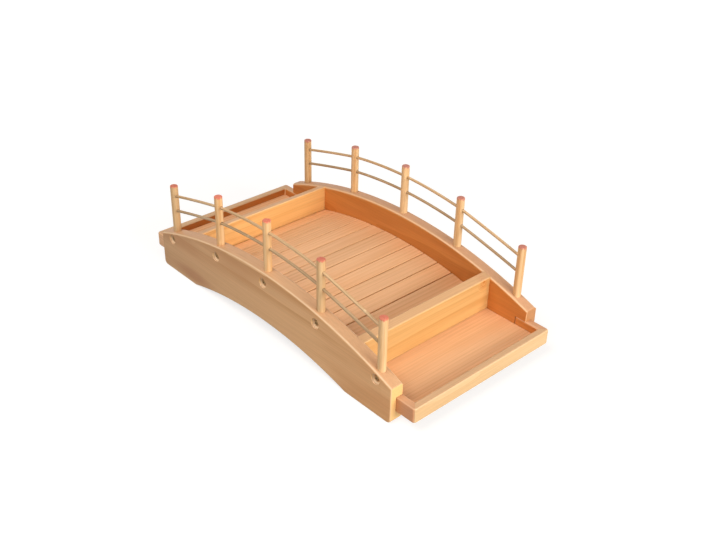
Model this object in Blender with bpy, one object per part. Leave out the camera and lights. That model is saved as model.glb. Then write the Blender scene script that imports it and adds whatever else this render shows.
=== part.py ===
# A wooden serving bridge. Two arched side panels carry a curved slatted deck between two dividers, a
# shallow fixed tray at each end, and a railing of five posts and two bent rails a side.
# Metres, +Z up. The origin is on the table under the middle of the bridge, X runs along its length,
# and the front side faces -Y.

import math

import bmesh
import bpy
from mathutils import Matrix, Vector

# Clearance between pieces that touch, and how far a cutter runs past the surface that it opens
GAP = 0.0003
CUT_PAST = 0.006

# Side panels: an arched top edge, flat feet, and a shallow arch between the feet
PANEL_SPACING = 0.220
PANEL_THICKNESS = 0.018
PANEL_LENGTH = 0.435
PANEL_END_HEIGHT = 0.0475
PANEL_CROWN_RISE = 0.040
FOOT_LENGTH = 0.0725
FOOT_CORNER_RADIUS = 0.006
ARCH_RISE = 0.0195

# Railing posts: a round post, a shallow seat in the panel's top edge and a thinner tenon below it
POST_DIAMETER = 0.010
POST_HEIGHT = 0.066
POST_TOP_CHAMFER = 0.0006
POST_SEAT_DEPTH = 0.0035
TENON_DIAMETER = 0.007
TENON_DEPTH = 0.019
END_POST_INSET = 0.0245
MID_POST_OFFSET = 0.0945

# Rails: thin rods bent to the arc of the panel's top edge. In the end spans they spring back, and keep only
# a share of the arc's bow.
RAIL_DIAMETER = 0.0035
UPPER_RAIL_HEIGHT = 0.051
LOWER_RAIL_HEIGHT = 0.030
RAIL_PAST_AXIS = 0.0015
RAIL_END_BOW = 0.35

# Screws that pin the tenons, sunk in counterbores in the outer faces
SCREW_SHANK_DIAMETER = 0.003
SCREW_HEAD_DIAMETER = 0.006
SCREW_HEAD_HEIGHT = 0.0015
SCREW_PAST_AXIS = 0.002
END_SCREW_DROP = 0.0095
MID_SCREW_DROP = 0.0145
COUNTERBORE_DIAMETER = 0.0115
COUNTERBORE_WALL = 0.0017

# Dividers between the deck and the end trays, in stopped housings
DIVIDER_INSET = 0.0595
DIVIDER_THICKNESS = 0.012
HOUSING_DEPTH = 0.003
HOUSING_STOP = 0.006

# Curved deck of cross slats on two ledges
DECK_DROP = 0.034
SLAT_COUNT = 12
SLAT_THICKNESS = 0.006
SLAT_GAP = 0.0012
LEDGE_WIDTH = 0.008
LEDGE_HEIGHT = 0.008

# End trays: a mitred rim of one end rail and two cheeks, and a floor in grooves
TRAY_OVERHANG = 0.0275
TRAY_CLEARANCE = 0.0135
TRAY_RIM_HEIGHT = 0.0195
TRAY_RIM_THICKNESS = 0.010
TRAY_FLOOR_RISE = 0.0035
TRAY_FLOOR_THICKNESS = 0.006
FLOOR_GROOVE_DEPTH = 0.004
NOTCH_WALL = 0.003

# Facets
ARC_STEPS = 32
CORNER_STEPS = 4
POST_SIDES = 20
BORE_SIDES = 20
SCREW_SIDES = 16
RAIL_STEPS = 30
RAIL_RESOLUTION = 2
SMOOTH_ANGLE = 30
WELD = 0.000001

# Places that follow from the sizes above
HALF_LENGTH = PANEL_LENGTH / 2
TOP_RADIUS = (HALF_LENGTH**2 + PANEL_CROWN_RISE**2) / (2 * PANEL_CROWN_RISE)
ARC_CENTRE_Z = PANEL_END_HEIGHT + PANEL_CROWN_RISE - TOP_RADIUS
ARCH_HALF_SPAN = HALF_LENGTH - FOOT_LENGTH
ARCH_RADIUS = (ARCH_HALF_SPAN**2 + ARCH_RISE**2) / (2 * ARCH_RISE)
POST_Y = PANEL_SPACING / 2
INNER_Y = POST_Y - PANEL_THICKNESS / 2
OUTER_Y = POST_Y + PANEL_THICKNESS / 2
END_POST_X = HALF_LENGTH - END_POST_INSET
POST_PLACES = (-END_POST_X, -MID_POST_OFFSET, 0.0, MID_POST_OFFSET, END_POST_X)
COUNTERBORE_FLOOR_Y = POST_Y + TENON_DIAMETER / 2 + GAP + COUNTERBORE_WALL
DIVIDER_FRONT_X = HALF_LENGTH - DIVIDER_INSET
DIVIDER_REAR_X = DIVIDER_FRONT_X - DIVIDER_THICKNESS
DECK_RADIUS = TOP_RADIUS - DECK_DROP
DECK_END_X = DIVIDER_REAR_X - GAP
TRAY_END_X = HALF_LENGTH + TRAY_OVERHANG
TRAY_RIM_INNER_X = TRAY_END_X - TRAY_RIM_THICKNESS
TRAY_OUTER_Y = INNER_Y + TRAY_RIM_THICKNESS
TRAY_TOP_Z = TRAY_CLEARANCE + TRAY_RIM_HEIGHT
FLOOR_BOTTOM_Z = TRAY_CLEARANCE + TRAY_FLOOR_RISE
FLOOR_TOP_Z = FLOOR_BOTTOM_Z + TRAY_FLOOR_THICKNESS
NOTCH_START_X = END_POST_X + POST_DIAMETER / 2 + NOTCH_WALL
MITRE_SETBACK = GAP * math.sqrt(2)

SIDES = {"front": -1, "back": 1}
ENDS = {"left": -1, "right": 1}


def top_height(x):
    """Height of the panel's top edge above the table."""
    return ARC_CENTRE_Z + math.sqrt(TOP_RADIUS**2 - x**2)


def rail_lift(x):
    """Height of a rail at x, less its own height above the panel's top edge at the posts."""
    past = abs(x) - MID_POST_OFFSET
    if past <= 0.0:
        return top_height(x)
    near, far = top_height(MID_POST_OFFSET), top_height(END_POST_X)
    chord = near + (far - near) * past / (END_POST_X - MID_POST_OFFSET)
    return chord + RAIL_END_BOW * (top_height(x) - chord)


def rail_slope(x):
    """Mean slope of a rail across a post at x."""
    reach = POST_DIAMETER / 2
    return (rail_lift(x + reach) - rail_lift(x - reach)) / (2 * reach)


def arc(radius, centre_z, half_width, steps):
    """Points (x, z) on a circle about (0, centre_z), from -half_width to +half_width."""
    reach = math.asin(half_width / radius)
    angles = [reach * (2 * i / steps - 1) for i in range(steps + 1)]
    return [(radius * math.sin(a), centre_z + radius * math.cos(a)) for a in angles]


def principled(name, colour, roughness, metallic=0.0):
    material = bpy.data.materials.new(name)
    material.use_nodes = True
    shader = material.node_tree.nodes["Principled BSDF"]
    shader.inputs["Base Color"].default_value = (*colour, 1.0)
    shader.inputs["Roughness"].default_value = roughness
    shader.inputs["Metallic"].default_value = metallic
    return material


def add_object(name, data, material=None):
    obj = bpy.data.objects.new(name, data)
    bpy.context.scene.collection.objects.link(obj)
    if material:
        data.materials.append(material)
    return obj


def finish_mesh(name, bm, smooth=False):
    """Closes a bmesh into a mesh whose faces point out."""
    bmesh.ops.recalc_face_normals(bm, faces=bm.faces)
    mesh = bpy.data.meshes.new(name)
    bm.to_mesh(mesh)
    bm.free()
    if smooth:
        mesh.shade_smooth()
        mesh.set_sharp_from_angle(angle=math.radians(SMOOTH_ANGLE))
    return mesh


def prism(name, outline, plane, low, high):
    """A closed outline drawn in the plane "xy", "xz" or "yz" and extruded along the third axis."""
    first, second = ("xyz".index(letter) for letter in plane)
    third = 3 - first - second

    def place(a, b, c):
        point = Vector()
        point[first], point[second], point[third] = a, b, c
        return point

    bm = bmesh.new()
    face = bm.faces.new([bm.verts.new(place(a, b, low)) for a, b in outline])
    grown = bmesh.ops.extrude_face_region(bm, geom=[face])["geom"]
    far_side = [item for item in grown if isinstance(item, bmesh.types.BMVert)]
    bmesh.ops.translate(bm, verts=far_side, vec=place(0.0, 0.0, high - low))
    return finish_mesh(name, bm)


def block(name, x_range, y_range, z_range):
    """A box between two values on each axis, given in any order."""
    x0, x1 = sorted(x_range)
    y0, y1 = sorted(y_range)
    return prism(name, [(x0, y0), (x1, y0), (x1, y1), (x0, y1)], "xy", *sorted(z_range))


def turned(name, profile, sides):
    """A solid turned about Z from a profile of (radius, height) that starts and ends on the axis."""
    bm = bmesh.new()
    points = [bm.verts.new((radius, 0.0, height)) for radius, height in profile]
    edges = [bm.edges.new(pair) for pair in zip(points, points[1:])]
    bmesh.ops.spin(bm, geom=points + edges, axis=(0, 0, 1), angle=math.tau, steps=sides, use_merge=True)
    bmesh.ops.remove_doubles(bm, verts=bm.verts, dist=WELD)
    return finish_mesh(name, bm, smooth=True)


def cut(target, name, mesh):
    """Takes the shape of a mesh out of an object."""
    cutter = add_object(name, mesh)
    cutter.hide_render = True
    cutter.display_type = "WIRE"
    boolean = target.modifiers.new(name, "BOOLEAN")
    boolean.operation = "DIFFERENCE"
    boolean.solver = "EXACT"
    boolean.object = cutter


def drill(target, name, start, end, diameter):
    """Takes a round hole between two world points out of an object."""
    start, end = Vector(start), Vector(end)
    along = end - start
    turn = along.to_track_quat("Z", "Y").to_matrix().to_4x4()
    bm = bmesh.new()
    bmesh.ops.create_cone(
        bm, cap_ends=True, segments=BORE_SIDES, radius1=diameter / 2, radius2=diameter / 2,
        depth=along.length, matrix=Matrix.Translation((start + end) / 2) @ turn)
    cut(target, name, finish_mesh(name, bm))


def panel_outline():
    """The side panel's outline: feet with eased corners, the arch between them and the top arc."""
    turns = [math.radians(90) * i / CORNER_STEPS for i in range(CORNER_STEPS + 1)]
    inset = HALF_LENGTH - FOOT_CORNER_RADIUS
    heel = [(inset + FOOT_CORNER_RADIUS * math.sin(t), FOOT_CORNER_RADIUS * (1 - math.cos(t))) for t in turns]
    arch = arc(ARCH_RADIUS, ARCH_RISE - ARCH_RADIUS, ARCH_HALF_SPAN, ARC_STEPS)
    crown = arc(TOP_RADIUS, ARC_CENTRE_Z, HALF_LENGTH, ARC_STEPS)
    return [(-x, z) for x, z in reversed(heel)] + arch + heel + crown[::-1]


def screw_drop(x):
    """How far a post's screw lies below the panel's top edge."""
    return END_SCREW_DROP if abs(x) > MID_POST_OFFSET else MID_SCREW_DROP


def make_panel(side_name, material):
    """A side panel with its post bores, screw holes, divider housings and tray notches."""
    side = SIDES[side_name]
    name = side_name + "_side_panel"
    inner, outer = side * INNER_Y, side * OUTER_Y
    panel = add_object(name, prism(name, panel_outline(), "xz", *sorted((inner, outer))), material)

    for number, x in enumerate(POST_PLACES, start=1):
        label = f"{name}_post_{number}"
        top = top_height(x)
        above = top + POST_DIAMETER
        y = side * POST_Y
        seat = top - POST_SEAT_DEPTH - GAP
        drill(panel, label + "_seat", (x, y, seat), (x, y, above), POST_DIAMETER + 2 * GAP)
        drill(panel, label + "_bore", (x, y, top - TENON_DEPTH - GAP), (x, y, above), TENON_DIAMETER + 2 * GAP)
        z = top - screw_drop(x)
        floor = side * COUNTERBORE_FLOOR_Y
        past = side * (OUTER_Y + CUT_PAST)
        drill(panel, label + "_counterbore", (x, floor, z), (x, past, z), COUNTERBORE_DIAMETER)
        drill(panel, label + "_screw_hole", (x, y, z), (x, past, z), SCREW_SHANK_DIAMETER + 2 * GAP)

    open_side = side * (INNER_Y - CUT_PAST)
    for end_name, end in ENDS.items():
        housing_x = (end * (DIVIDER_REAR_X - GAP), end * (DIVIDER_FRONT_X + GAP))
        housing_y = (open_side, side * (INNER_Y + HOUSING_DEPTH))
        housing_z = (TRAY_CLEARANCE - GAP, housing_top() + GAP)
        label = f"{name}_{end_name}_housing"
        cut(panel, label, block(label, housing_x, housing_y, housing_z))
        notch_x = (end * NOTCH_START_X, end * (HALF_LENGTH + CUT_PAST))
        notch_y = (open_side, side * (TRAY_OUTER_Y + GAP))
        notch_z = (TRAY_CLEARANCE - GAP, TRAY_TOP_Z + GAP)
        label = f"{name}_{end_name}_notch"
        cut(panel, label, block(label, notch_x, notch_y, notch_z))


def housing_top():
    """Height at which the divider's housing stops, below the panel's top edge."""
    return top_height(DIVIDER_FRONT_X) - HOUSING_STOP


def make_post(side_name, number, material):
    """A railing post with its tenon, two rail bores and the pilot hole of its screw."""
    side = SIDES[side_name]
    x, y = POST_PLACES[number - 1], side * POST_Y
    name = f"{side_name}_post_{number}"
    radius, tenon = POST_DIAMETER / 2, TENON_DIAMETER / 2
    profile = [
        (0.0, -TENON_DEPTH), (tenon, -TENON_DEPTH), (tenon, -POST_SEAT_DEPTH), (radius, -POST_SEAT_DEPTH),
        (radius, POST_HEIGHT - POST_TOP_CHAMFER), (radius - POST_TOP_CHAMFER, POST_HEIGHT), (0.0, POST_HEIGHT)]
    top = top_height(x)
    post = add_object(name, turned(name, profile, POST_SIDES), material)
    post.location = (x, y, top)

    through = POST_DIAMETER
    blind = RAIL_PAST_AXIS + GAP
    left = x - (blind if number == 1 else through)
    right = x + (blind if number == len(POST_PLACES) else through)
    for level, height in (("upper", UPPER_RAIL_HEIGHT), ("lower", LOWER_RAIL_HEIGHT)):
        z = top + height
        slope = rail_slope(x)
        start = (left, y, z + slope * (left - x))
        end = (right, y, z + slope * (right - x))
        drill(post, f"{name}_{level}_rail_bore", start, end, RAIL_DIAMETER + 2 * GAP)
    z = top - screw_drop(x)
    tip = side * (POST_Y - SCREW_PAST_AXIS - GAP)
    drill(post, name + "_pilot", (x, tip, z), (x, side * OUTER_Y, z), SCREW_SHANK_DIAMETER + 2 * GAP)


def make_screw(side_name, number, material):
    """A pan head screw from the counterbore into the post's tenon."""
    side = SIDES[side_name]
    x = POST_PLACES[number - 1]
    name = f"{side_name}_post_screw_{number}"
    head, shank = SCREW_HEAD_DIAMETER / 2, SCREW_SHANK_DIAMETER / 2
    seat_y = COUNTERBORE_FLOOR_Y + GAP
    reach = seat_y - POST_Y + SCREW_PAST_AXIS
    crown = head - SCREW_HEAD_HEIGHT / 2
    profile = [
        (0.0, -reach), (shank, -reach), (shank, 0.0), (head, 0.0),
        (head, SCREW_HEAD_HEIGHT / 2), (crown, SCREW_HEAD_HEIGHT), (0.0, SCREW_HEAD_HEIGHT)]
    screw = add_object(name, turned(name, profile, SCREW_SIDES), material)
    screw.location = (x, side * seat_y, top_height(x) - screw_drop(x))
    screw.rotation_euler = (-side * math.radians(90), 0.0, 0.0)


def make_rail(side_name, level, height, material):
    """A bent rod from one end post to the other, through the posts between them."""
    name = f"{side_name}_{level}_rail"
    end = END_POST_X + RAIL_PAST_AXIS
    places = [end * (2 * i / RAIL_STEPS - 1) for i in range(RAIL_STEPS + 1)]
    curve = bpy.data.curves.new(name, "CURVE")
    curve.dimensions = "3D"
    curve.bevel_depth = RAIL_DIAMETER / 2
    curve.bevel_resolution = RAIL_RESOLUTION
    curve.use_fill_caps = True
    spline = curve.splines.new("POLY")
    spline.points.add(len(places) - 1)
    for knot, x in zip(spline.points, places):
        knot.co = (x, SIDES[side_name] * POST_Y, rail_lift(x) + height, 1.0)
    add_object(name, curve, material)


def make_divider(end_name, material):
    """A divider whose top follows the panels, with stopped tongues and a groove for the tray floor."""
    end = ENDS[end_name]
    name = end_name + "_divider"
    rear, front = end * DIVIDER_REAR_X, end * DIVIDER_FRONT_X
    outline = [
        (rear, TRAY_CLEARANCE), (front, TRAY_CLEARANCE), (front, top_height(front)), (rear, top_height(rear))]
    reach = INNER_Y + HOUSING_DEPTH - GAP
    divider = add_object(name, prism(name, outline, "xz", -reach, reach), material)
    for side_name, side in SIDES.items():
        label = f"{name}_{side_name}_shoulder"
        shoulder_x = (rear - end * CUT_PAST, front + end * CUT_PAST)
        shoulder_y = (side * (INNER_Y - GAP), side * (reach + CUT_PAST))
        cut(divider, label, block(label, shoulder_x, shoulder_y, (housing_top(), top_height(rear) + CUT_PAST)))
    label = name + "_groove"
    groove_x = (front - end * FLOOR_GROOVE_DEPTH, front + end * CUT_PAST)
    cut(divider, label, block(label, groove_x, (-INNER_Y, INNER_Y), (FLOOR_BOTTOM_Z - GAP, FLOOR_TOP_Z + GAP)))


def make_tray(end_name, material):
    """An end tray: floor, end rail and two cheeks that sit in the panels' notches."""
    end = ENDS[end_name]
    rim_z = (TRAY_CLEARANCE, TRAY_TOP_Z)
    name = end_name + "_end_rail"
    inner_x, outer_x = end * TRAY_RIM_INNER_X, end * TRAY_END_X
    outline = [(inner_x, -INNER_Y), (outer_x, -TRAY_OUTER_Y), (outer_x, TRAY_OUTER_Y), (inner_x, INNER_Y)]
    rail = add_object(name, prism(name, outline, "xy", *rim_z), material)
    label = name + "_groove"
    groove_x = (inner_x - end * CUT_PAST, inner_x + end * FLOOR_GROOVE_DEPTH)
    cut(rail, label, block(label, groove_x, (-INNER_Y, INNER_Y), (FLOOR_BOTTOM_Z - GAP, FLOOR_TOP_Z + GAP)))

    for side_name, side in SIDES.items():
        name = f"{end_name}_{side_name}_tray_cheek"
        start = end * (NOTCH_START_X + GAP)
        mitre = end * MITRE_SETBACK
        inner_y, outer_y = side * INNER_Y, side * TRAY_OUTER_Y
        outline = [(start, inner_y), (inner_x - mitre, inner_y), (outer_x - mitre, outer_y), (start, outer_y)]
        add_object(name, prism(name, outline, "xy", *rim_z), material)

    name = end_name + "_tray_floor"
    tongue = FLOOR_GROOVE_DEPTH - GAP
    floor_x = (end * (DIVIDER_FRONT_X - tongue), end * (TRAY_RIM_INNER_X + tongue))
    half_width = INNER_Y - GAP
    floor = block(name, floor_x, (-half_width, half_width), (FLOOR_BOTTOM_Z, FLOOR_TOP_Z))
    add_object(name, floor, material)


def make_ledge(side_name, material):
    """A curved bar on a panel's inner face, under the ends of the slats."""
    side = SIDES[side_name]
    name = side_name + "_deck_ledge"
    upper = DECK_RADIUS - SLAT_THICKNESS - GAP
    lower = upper - LEDGE_HEIGHT
    outline = arc(upper, ARC_CENTRE_Z, DECK_END_X, ARC_STEPS)
    outline += arc(lower, ARC_CENTRE_Z, DECK_END_X, ARC_STEPS)[::-1]
    near = INNER_Y - GAP
    mesh = prism(name, outline, "xz", *sorted((side * near, side * (near - LEDGE_WIDTH))))
    add_object(name, mesh, material)


def make_slats(material):
    """Flat cross slats, side by side along the deck's arc."""
    reach = math.asin(DECK_END_X / DECK_RADIUS)
    pitch = 2 * reach / SLAT_COUNT
    half_width = DECK_RADIUS * math.tan(pitch / 2) - SLAT_GAP / 2
    half_length = INNER_Y - GAP
    for i in range(SLAT_COUNT):
        name = f"deck_slat_{i + 1:02d}"
        angle = pitch * (i + 0.5) - reach
        mesh = block(name, (-half_width, half_width), (-half_length, half_length), (-SLAT_THICKNESS, 0.0))
        slat = add_object(name, mesh, material)
        slat.location = (DECK_RADIUS * math.sin(angle), 0.0, ARC_CENTRE_Z + DECK_RADIUS * math.cos(angle))
        slat.rotation_euler = (0.0, angle, 0.0)


def main():
    for obj in list(bpy.data.objects):
        bpy.data.objects.remove(obj, do_unlink=True)

    tan_board = principled("panel_pine", (0.54, 0.31, 0.15), 0.48)
    honey_board = principled("board_pine", (0.66, 0.36, 0.15), 0.50)
    pale_dowel = principled("post_birch", (0.70, 0.44, 0.21), 0.52)
    thin_rod = principled("rail_bamboo", (0.50, 0.35, 0.19), 0.55)
    steel = principled("screw_steel", (0.42, 0.38, 0.33), 0.42, 1.0)

    for side_name in SIDES:
        make_panel(side_name, tan_board)
        make_ledge(side_name, honey_board)
        for number in range(1, len(POST_PLACES) + 1):
            make_post(side_name, number, pale_dowel)
            make_screw(side_name, number, steel)
        make_rail(side_name, "upper", UPPER_RAIL_HEIGHT, thin_rod)
        make_rail(side_name, "lower", LOWER_RAIL_HEIGHT, thin_rod)
    for end_name in ENDS:
        make_divider(end_name, honey_board)
        make_tray(end_name, honey_board)
    make_slats(honey_board)


main()
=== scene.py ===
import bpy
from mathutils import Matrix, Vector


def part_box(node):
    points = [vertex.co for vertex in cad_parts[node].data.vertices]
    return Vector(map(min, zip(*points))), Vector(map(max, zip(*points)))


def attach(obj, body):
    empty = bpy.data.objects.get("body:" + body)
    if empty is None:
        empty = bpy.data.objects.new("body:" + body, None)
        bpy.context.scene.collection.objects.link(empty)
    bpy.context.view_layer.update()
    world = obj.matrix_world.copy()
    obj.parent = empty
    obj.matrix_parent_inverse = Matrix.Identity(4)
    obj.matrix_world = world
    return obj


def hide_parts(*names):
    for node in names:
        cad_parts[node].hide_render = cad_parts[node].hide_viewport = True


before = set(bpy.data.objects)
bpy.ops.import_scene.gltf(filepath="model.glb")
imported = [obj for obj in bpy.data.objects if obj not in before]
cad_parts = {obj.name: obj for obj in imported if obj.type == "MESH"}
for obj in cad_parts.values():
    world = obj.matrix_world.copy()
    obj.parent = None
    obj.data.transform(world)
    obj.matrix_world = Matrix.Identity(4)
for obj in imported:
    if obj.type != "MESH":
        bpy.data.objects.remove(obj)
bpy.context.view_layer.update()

import math
import random

import bmesh
import bpy
from mathutils import Matrix, Vector

# A wooden serving bridge: pine panels, dividers, trays and deck, birch posts, bamboo rails, bronzed screws.
# Metres, as in the frame. The front panel faces -Y and the bridge runs along X.
scene = bpy.context.scene
sideSigns = {"front": -1, "back": 1}
endSigns = {"left": -1, "right": 1}
hair = 0.0003  # clearance between pieces that touch
seam = 0.0001  # what is left of it in a glued joint
past = 0.006  # how far a cutter runs past the face that it opens
weld = 1e-6  # points closer than this are one point
reliefStrength = 0.5  # of the fibres on every wood
dice = random.Random(47)  # gives every board its own place in the tree


def mm(size):
    return size / 1000


def linear(hexColour):
    channels = [int(hexColour[i:i + 2], 16) / 255 for i in (1, 3, 5)]
    return tuple(c / 12.92 if c <= 0.04045 else ((c + 0.055) / 1.055) ** 2.4 for c in channels) + (1.0,)


def addNode(tree, kind, inputs=None, **settings):
    node = tree.nodes.new("ShaderNode" + kind)
    for name, value in settings.items():
        setattr(node, name, value)
    for socket, value in (inputs or {}).items():
        if isinstance(value, bpy.types.NodeSocket):
            tree.links.new(value, node.inputs[socket])
        else:
            node.inputs[socket].default_value = value
    return node


def newMaterial(name):
    material = bpy.data.materials.new(name)
    material.use_nodes = True
    return material, material.node_tree, material.node_tree.nodes["Principled BSDF"]


def mixColour(tree, factor, first, second):
    # Sockets 6 and 7 in and 2 out are the node's colours
    node = addNode(tree, "Mix", {"Factor": factor, 6: first, 7: second}, data_type="RGBA")
    return node.outputs[2]


def stretched(tree, grain, longMm, wideMm):
    scale = (1 / mm(longMm), 1 / mm(wideMm), 1 / mm(wideMm))
    return addNode(tree, "VectorMath", {0: grain, 1: scale}, operation="MULTIPLY").outputs[0]


def span(limits, end="From"):
    return {f"{end} Min": limits[0], f"{end} Max": limits[1]}


# Planed pine, sanded and oiled: pale early wood and honey late wood in long soft lines that come and go,
# faint warm patches, a satin face, end grain that drank more oil, and edges rubbed paler by the sandpaper,
# with a painted highlight on them too. Faces that look up take a painted sheen: the lines blur there and the
# colour fades to a pale dull tone. A mark is where a branch ran close under the face: darker wood, and lines
# that part around it. A spread is the part of a pattern's range that shows.
pineSet = {
    "ringMm": 4.6, "wanderMm": 6.0, "wanderLongMm": 420, "wanderWideMm": 45, "lateSpread": (0.30, 0.95),
    "lineMm": 24, "lineLongMm": 300, "lineSpread": (0.36, 0.66), "faintestLine": 0.25,
    "fibreMm": 1.3, "fibreLongMm": 75, "fibreSpread": (0.35, 0.68), "fibreShade": (1.04, 0.93),
    "patchMm": 34, "patchLongMm": 210, "patchSpread": (0.42, 0.72), "markFade": (1.0, 0.15),
    "paintedSheen": "#d2a885", "roughness": (0.42, 0.58), "reliefMm": 0.08, "lateRelief": 0.4,
}
# Painted sheen: how far the faces that look up fade to the pale dull colour
rimSheen = 0.6  # of the faces that look up on panels, dividers and tray rims


def pine(name, tones):
    s = pineSet
    material, tree, shader = newMaterial(name)
    grain = addNode(tree, "Attribute", attribute_name="grain").outputs["Vector"]
    mark = addNode(tree, "Attribute", attribute_name="mark").outputs["Vector"]
    across = addNode(tree, "VectorMath", {0: mark, 1: (1.0, 1.0, 0.0)}, operation="MULTIPLY")
    reach = addNode(tree, "VectorMath", {0: across.outputs[0]}, operation="LENGTH")
    markFade = addNode(tree, "MapRange", {
        "Value": reach.outputs["Value"], **span(s["markFade"])}, interpolation_type="SMOOTHSTEP")
    markDepth = addNode(tree, "SeparateXYZ", {0: mark}).outputs["Z"]
    markShare = addNode(tree, "Math", {0: markFade.outputs[0], 1: markDepth}, operation="MULTIPLY").outputs[0]

    wander = addNode(tree, "TexNoise", {
        "Vector": stretched(tree, grain, s["wanderLongMm"], s["wanderWideMm"]), "Scale": 1.0, "Detail": 2.0})
    centred = addNode(tree, "VectorMath", {
        0: wander.outputs["Color"], 1: (0.5, 0.5, 0.5)}, operation="SUBTRACT")
    sway, push = 2 * mm(s["wanderMm"]), mm(tones.get("markPushMm", 0.0))
    moved = addNode(tree, "VectorMath", {
        0: centred.outputs[0], 1: (0.0, sway, sway), 2: grain}, operation="MULTIPLY_ADD")
    parted = addNode(tree, "VectorMath", {
        0: markShare, 1: (0.0, push, push), 2: moved.outputs[0]}, operation="MULTIPLY_ADD")
    # The ring texture repeats every 2 pi / 20 of its own units
    ringScale = math.tau / 20 / mm(s["ringMm"])
    rings = addNode(tree, "TexWave", {"Vector": parted.outputs[0], "Scale": ringScale, "Distortion": 0.0},
                    wave_type="RINGS", rings_direction="X", wave_profile="SAW")
    lateWood = addNode(tree, "MapRange", {
        "Value": rings.outputs["Fac"], **span(s["lateSpread"])}, interpolation_type="SMOOTHSTEP")
    line = addNode(tree, "TexNoise", {
        "Vector": stretched(tree, grain, s["lineLongMm"], s["lineMm"]), "Scale": 1.0, "Detail": 2.0})
    lineShare = addNode(tree, "MapRange", {
        "Value": line.outputs["Fac"], **span(s["lineSpread"]),
        "To Min": s["faintestLine"] * tones["lines"], "To Max": tones["lines"]})
    # Painted sheen on the faces that look up: their lines blur and the colour fades to a pale dull tone
    paintedSheen = addNode(tree, "Attribute", attribute_name="paintedSheen").outputs["Fac"]
    unsheened = addNode(tree, "Math", {0: 1.0, 1: paintedSheen}, operation="SUBTRACT")
    shownLines = addNode(tree, "Math", {0: lineShare.outputs[0], 1: unsheened.outputs[0]}, operation="MULTIPLY")
    lateShare = addNode(tree, "Math", {
        0: lateWood.outputs[0], 1: shownLines.outputs[0]}, operation="MULTIPLY")
    fibre = addNode(tree, "TexNoise", {
        "Vector": stretched(tree, grain, s["fibreLongMm"], s["fibreMm"]), "Scale": 1.0, "Detail": 4.0})
    fibreShade = addNode(tree, "MapRange", {
        "Value": fibre.outputs["Fac"], **span(s["fibreSpread"]), **span(s["fibreShade"], "To")})
    patches = addNode(tree, "TexNoise", {
        "Vector": stretched(tree, grain, s["patchLongMm"], s["patchMm"]), "Scale": 1.0, "Detail": 2.0})
    patchShare = addNode(tree, "MapRange", {
        "Value": patches.outputs["Fac"], **span(s["patchSpread"]), "To Max": tones["patches"]},
        interpolation_type="SMOOTHSTEP")

    colour = mixColour(tree, lateShare.outputs[0], linear(tones["early"]), linear(tones["late"]))
    colour = mixColour(tree, patchShare.outputs[0], colour, linear(tones["patch"]))
    markLines = addNode(tree, "MapRange", {
        "Value": lateWood.outputs[0], "To Min": tones.get("markCore", 1.0)})
    markTint = addNode(tree, "Math", {0: markLines.outputs[0], 1: markShare}, operation="MULTIPLY")
    colour = mixColour(tree, markTint.outputs[0], colour, linear(tones.get("mark", tones["late"])))
    colour = mixColour(tree, paintedSheen, colour, linear(s["paintedSheen"]))
    endGrain = addNode(tree, "Attribute", attribute_name="endGrain").outputs["Fac"]
    colour = mixColour(tree, endGrain, colour, linear(tones["endGrain"]))
    tone = addNode(tree, "Attribute", attribute_name="tone").outputs["Fac"]
    shade = addNode(tree, "Math", {
        0: tone, 1: fibreShade.outputs[0], 2: fibreShade.outputs[0]}, operation="MULTIPLY_ADD")
    colour = addNode(tree, "VectorMath", {0: colour, "Scale": shade.outputs[0]}, operation="SCALE").outputs[0]
    # Rounded edges and recess walls turn to the pale edge colour: partly sanding wear, partly a painted
    # highlight
    wearAndHighlight = addNode(tree, "Attribute", attribute_name="edgeWearAndHighlight").outputs["Fac"]
    wearAndHighlightShare = addNode(tree, "Math", {0: wearAndHighlight, 1: tones["rubbed"]}, operation="MULTIPLY")
    colour = mixColour(tree, wearAndHighlightShare.outputs[0], colour, linear(tones["edge"]))
    tree.links.new(colour, shader.inputs["Base Color"])

    rough = addNode(tree, "MapRange", {"Value": fibre.outputs["Fac"], **span(s["roughness"], "To")})
    tree.links.new(rough.outputs[0], shader.inputs["Roughness"])
    height = addNode(tree, "Math", {
        0: lateWood.outputs[0], 1: s["lateRelief"], 2: fibre.outputs["Fac"]}, operation="MULTIPLY_ADD")
    relief = addNode(tree, "Bump", {
        "Height": height.outputs[0], "Distance": mm(s["reliefMm"]), "Strength": reliefStrength})
    tree.links.new(relief.outputs[0], shader.inputs["Normal"])
    return material


# Turned birch dowel: even and pale with short fine flecks along its length. The tip was dipped in rose stain,
# which crept a few millimetres down the fibres, so its lower edge is ragged. Some dips came out coral, some
# dusky.
birchSet = {
    "pale": "#f0ce9f", "honey": "#deb17d", "streakMm": 3.5, "streakLongMm": 120, "streakSpread": (0.38, 0.66),
    "fleckMm": 0.9, "fleckLongMm": 26, "fleckSpread": (0.35, 0.68), "fleckShade": (1.04, 0.90),
    "coral": "#e0685c", "dusky": "#c67f80", "dipMm": 1.6, "dipRaggedMm": 2.6, "dipSoftMm": 1.2,
    "creepMm": 1.6, "creepLongMm": 60, "creepSpread": (0.3, 0.7), "dipShare": 0.8,
    "reliefMm": 0.06, "rough": 0.5, "shine": 0.1,
}


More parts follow.
